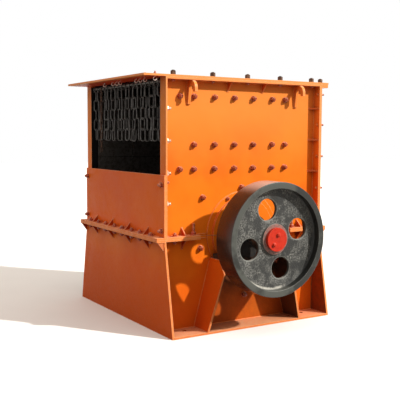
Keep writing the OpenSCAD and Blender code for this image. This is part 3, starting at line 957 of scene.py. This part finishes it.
def addCapScrews():
    middle = middleOf(endCap).z
    points = pointing([(endCap[1].x, y, middle + up) for y, up in capScrews], toRight, 0.4)
    addFasteners("cap_screws", bothSides(points), "small", 0.001, 42, "red_paint", "rotor", "red_paint")


# Chain curtain: rows of welded links hung from rings on the bar, and bright hooks under the roof's overhang

curtain = {
    "strands": 18,
    "linksEach": 5,
    "sway": 0.004,
    "fromEnd": 0.028,  # clears the wear plates when the row swings in
    "firstLink": 0.018,  # below the bar
    "seen": 20,  # degrees that the links are turned out of the row
    "ring": {"Length": 0.058, "Width": 0.046, "Wire": 0.009},
    "longLink": {"Length": 0.046, "Width": 0.020, "Wire": 0.005},
    "longPlace": (-0.38, 0.034),  # across, and forward of the bar
    "longEnd": 1.26,
    "hooks": (-0.175, -0.022, 0.044, 0.101, 0.368, 0.432, 0.503, 0.650),
    "hookForward": 0.094,  # of the bar
    "hookRise": 0.007,
    "hookTurn": 60,
    "overlap": 1.9,  # wires by which two links reach into each other
}


def growChain(name, points, metal="chain_steel", **sizes):
    mesh = pointMesh(name + "Points", points)
    return grow(name, links, mesh, metal, "chain_curtain", "chain_steel", **sizes)


def addStrands(barY, barZ):
    old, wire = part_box("chain_strands"), linkSizes["Wire"]
    pitch = (barZ - old[0].z - wire * 2.2) / curtain["linksEach"]
    spread = old[1].x - curtain["fromEnd"]
    step = 2 * spread / (curtain["strands"] - 1)
    points, rings = [], []
    for strand in range(curtain["strands"]):
        x = -spread + strand * step
        lean = curtain["sway"] * sin(strand * 2.7)
        top = barZ - curtain["firstLink"] - 0.002 * (strand % 3)
        for i in range(curtain["linksEach"]):
            place = (x + lean * i * 0.6, barY + lean * cos(i * 1.9 + strand), top - pitch * (i + 0.5))
            facing = Vector((lean, lean * sin(i + strand), -pitch)).normalized()
            points.append((place, tuple(facing), radians(curtain["seen"] + 90 * (i % 2))))
        rings.append((x, barY, barZ - 0.006))
    chain = growChain("chain_links", points, Length=pitch + wire * curtain["overlap"])
    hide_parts("chain_strands")
    growChain("chain_rings", pointing(rings, toTop, radians(90)), **curtain["ring"])


def addLongStrand(barY, barZ):
    size, (x, forward) = curtain["longLink"], curtain["longPlace"]
    pitch = size["Length"] - size["Wire"] * curtain["overlap"]
    count = round((barZ - curtain["longEnd"]) / pitch)
    places = [(x, barY - forward, barZ - pitch * (i + 0.5)) for i in range(count)]
    points = [(place, toTop, radians(90 * (i % 2))) for i, place in enumerate(places)]
    growChain("long_strand", points, "rust", **size)


def addHooks(barY, barZ):
    y, z = barY - curtain["hookForward"], barZ + curtain["hookRise"]
    points = pointing([(x, y, z) for x in curtain["hooks"]], toTop, radians(curtain["hookTurn"]))
    grow("curtain_hooks", hooks, pointMesh("curtainHooks", points), "hookZincAndHighlight", "frame", "bare_steel")
    nuts = pointing([(x, y, roof[1].z) for x in curtain["hooks"]], toTop)
    addFasteners("hook_nuts", nuts, "tiny", 0.010, 51)


def addCurtain():
    middle = middleOf(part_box("curtain_bar"))
    addStrands(middle.y, middle.z)
    addLongStrand(middle.y, middle.z)
    addHooks(middle.y, middle.z)


# Weld beads in the corners where plates meet

weld = {
    "ribThickness": 0.016,
    "thinGusset": 0.015,  # a solid thinner than this is a gusset seen on edge
    "footEnd": 0.004,  # short of the foot plate's edge
    "toeEnd": 0.014,  # short of each rib's toe
    "coverTurns": range(4, 177, 4),  # degrees
}


def gussetLines():
    lines = []
    for name in gussets:
        for (x0, y0, z0), (x1, y1, z1) in looseParts(name):
            foot = z0 if name == "casing_gussets" and z0 < 1.0 else z1
            if x1 - x0 < weld["thinGusset"]:  # runs along Y, on the front or rear plate
                root, tip = (y1, y0) if y1 < 0 else (y0, y1)
                lines += [[(x, root, foot), (x, tip, foot)] for x in (x0, x1)]
                lines += [[(x, root, z0), (x, root, z1)] for x in (x0, x1)]
                continue
            root, tip = (x0, x1) if x0 > 0 else (x1, x0)
            if y1 - y0 < weld["thinGusset"]:  # runs along X, on a side wall
                lines += [[(root, y, foot), (tip, y, foot)] for y in (y0, y1)]
                lines += [[(root, y, z0), (root, y, z1)] for y in (y0, y1)]
            else:  # level gusset in the corner of the rear flange
                lines += [[(root, y0, z), (root, y1, z)] for z in (z0, z1)]
                lines += [[(x0, y1, z), (x1, y1, z)] for z in (z0, z1)]
    return lines


def seamLines():  # one side of the casing and base; the other side is the mirror image
    side, low, high = wall[1].x, highFlange[1].z, topFlange[0].z
    front, rear, under = post[1].y, rearPost[0].y, lowFlange[0].z
    near, far, floor = footPlate[0].y, footPlate[1].y, footPlate[1].z
    tip = footPlate[1].x - weld["footEnd"]
    seams = (
        ((front, low), (front, high)),
        ((rear, low), (rear, high)),
        ((front, high), (rear, high)),
        ((front, low), (rear, low)),
        ((front, under), (rear, under)),
        ((near, floor), (far, floor)),
        ((near, floor), (near, under)),
        ((far, floor), (far, under)),
    )
    lines = [[(side, *start), (side, *end)] for start, end in seams]
    return lines + [[(side, y, floor), (tip, y, floor)] for y in (near, far)]


def sideLines():  # pedestal ribs, lifting lugs and the rim of the shaft cover, on the right-hand wall
    side, floor, seat = wall[1].x, footPlate[1].z, pedestal[1].z - seatThickness
    toe = min(pedestal[1].x, footPlate[1].x) - weld["toeEnd"]
    lines = []
    for end in (-1, 1):
        for inset in (0, weld["ribThickness"]):
            top, bottom = end * (seatEnd - inset), end * (pedestal[1].y - inset)
            lines.append([(side, top, seat), (side, bottom, floor), (toe, bottom, floor)])
    for low, high in looseParts("lifting_lugs_right"):
        lines += [[(side, y, low[2]), (side, y, topFlange[0].z)] for y in (low[1], high[1])]
    turns = [radians(turn) for turn in weld["coverTurns"]]
    lines.append([(side, cover[1].y * cos(turn), axle + cover[1].y * sin(turn)) for turn in turns])
    return lines


def addWelds():
    side = seamLines() + sideLines()
    lines = gussetLines() + side + [[(-x, y, z) for x, y, z in line] for line in side]
    lines.append([(x, frontPlate[0].y, highFlange[1].z) for x in (wall[1].x, -wall[1].x)])
    grow("weld_beads", beads, lineMesh("weldBeads", lines), "orange_paint", "frame", "orange_paint")


# Flywheels: turned rim, set-back cast web with four holes, long hub

def rounded(corners):  # corners are (x, y, radius); a radius of 0 keeps the corner
    outline = []
    for i, (x, y, radius) in enumerate(corners):
        here = Vector((x, y))
        if radius == 0:
            outline.append(here)
            continue
        before, after = Vector(corners[i - 1][:2]), Vector(corners[(i + 1) % len(corners)][:2])
        one, two = (before - here).normalized(), (after - here).normalized()
        half = one.angle(two) / 2
        centre = here + (one + two).normalized() * (radius / sin(half))
        start = here + one * (radius / tan(half)) - centre
        end = here + two * (radius / tan(half)) - centre
        sweep = start.angle_signed(end)
        steps = max(3, round(abs(degrees(sweep)) / 15))
        outline += [centre + Matrix.Rotation(-sweep * step / steps, 2) @ start for step in range(steps + 1)]
    return outline


def wheelSection(outer, width):
    inner = outer - wheel["rim"]
    back, front = wheel["webBack"], wheel["webBack"] + wheel["webThickness"]
    soft, edge, hub, bore = wheel["fillet"], wheel["edge"], wheel["hub"], wheel["bore"]
    return rounded([
        (bore, 0, 0), (hub, 0, edge), (hub, back, soft * 0.6), (inner, back, soft), (inner, 0, edge * 0.6),
        (outer, 0, edge), (outer, width, edge), (inner, width, edge * 0.6), (inner, front, soft),
        (hub, front, soft * 0.6), (hub, wheel["hubLength"], edge * 0.6), (bore, wheel["hubLength"], 0),
    ])


def addWheel(side, sign):
    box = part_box("flywheel_" + side)
    inner = box[0].x if sign > 0 else box[1].x
    section = wheelSection(box[1].y, box[1].x - box[0].x)
    outline = [(r - wheelSizes["Sweep radius"], -along, 0) for r, along in section]
    mesh = lineMesh("wheelSection", [outline + [outline[0]]])
    values = {"Hole turn": pi / 2 + sign * radians(wheel["holeTurn"]), "Side": float(sign)}
    piece = grow("cast_flywheel_" + side, wheels, mesh, "castIron", "rotor", "black_paint", **values)
    piece.data.transform(Matrix.Translation((inner, 0, middleOf(box).z)))
    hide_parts("flywheel_" + side)


addLinerBolts()
addPostBolts()
addRearBolts()
addRoofBolts()
addCoverBolts()
addSplitBolts()
addBearingBolts()
addCapScrews()
stage("bolts set")
addCurtain()
stage("chain hung")
addWelds()
stage("welds laid")
addWheel("right", 1)
addWheel("left", -1)
stage("flywheels turned")


# Floor, sky and lamp

light = {
    "from": (0.645, 0.528, 0.576),
    "strength": 4.1,
    "colour": (1.0, 0.97, 0.92),
    "softness": 1.6,  # degrees across
    "fillLow": 0.30,  # near the horizon
    "fillHigh": 1.15,  # overhead
    "fillColour": (1.0, 0.90, 0.81),
    "floorSize": 30.0,
    "floorColour": (0.93, 0.93, 0.92),
    "floorBounce": (0.11, 0.10, 0.09),
}


def seenDirectly(tree):  # 1 for what the camera, a reflection or glass sees
    path = addNode(tree, "ShaderNodeLightPath").outputs
    both = calc("MAXIMUM", path["Is Camera Ray"], path["Is Glossy Ray"])
    return calc("MAXIMUM", both, path["Is Transmission Ray"])


def addWorld():
    world = bpy.data.worlds.new("studio")
    scene.world = world
    world.use_nodes = True
    tree = world.node_tree
    seen = seenDirectly(tree)
    height = axesOf(addNode(tree, "ShaderNodeTexCoord").outputs["Generated"])[2]
    inputs = {0: height, 1: 0.0, 2: 1.0, 3: light["fillLow"], 4: light["fillHigh"]}
    fill = nodeOut(tree, "ShaderNodeMapRange", inputs)
    backdrop = tree.nodes["Background"]
    tree.links.new(mixColour(seen, light["fillColour"], (1, 1, 1)), backdrop.inputs["Color"])
    tree.links.new(nodeOut(tree, "ShaderNodeMix", {0: seen, 2: fill, 3: 1.0}), backdrop.inputs["Strength"])


def addFloor():
    size = light["floorSize"]
    corners = [(-size, -size, 0.0), (size, -size, 0.0), (size, size, 0.0), (-size, size, 0.0)]
    mesh = bpy.data.meshes.new("floor")
    mesh.from_pydata(corners, [], [(0, 1, 2, 3)])
    floor = addObject("floor", mesh)
    material, tree, place = newMaterial("paleFloor", Roughness=0.9, Specular_IOR_Level=0.0)
    grain = between(noise(place, 0.4), 0.3, 0.7, 0.985, 1.0)
    pale = mixColour(seenDirectly(tree), light["floorBounce"], light["floorColour"])
    mesh.materials.append(linked(material, Base_Color=scaled(pale, grain)))


def addSun():
    lamp = bpy.data.lights.new("key", "SUN")
    lamp.energy = light["strength"]
    lamp.angle = radians(light["softness"])
    lamp.color = light["colour"]
    key = addObject("key", lamp)
    key.rotation_euler = Vector(light["from"]).to_track_quat("Z", "Y").to_euler()


addWorld()
addFloor()
addSun()
stage("stage lit")
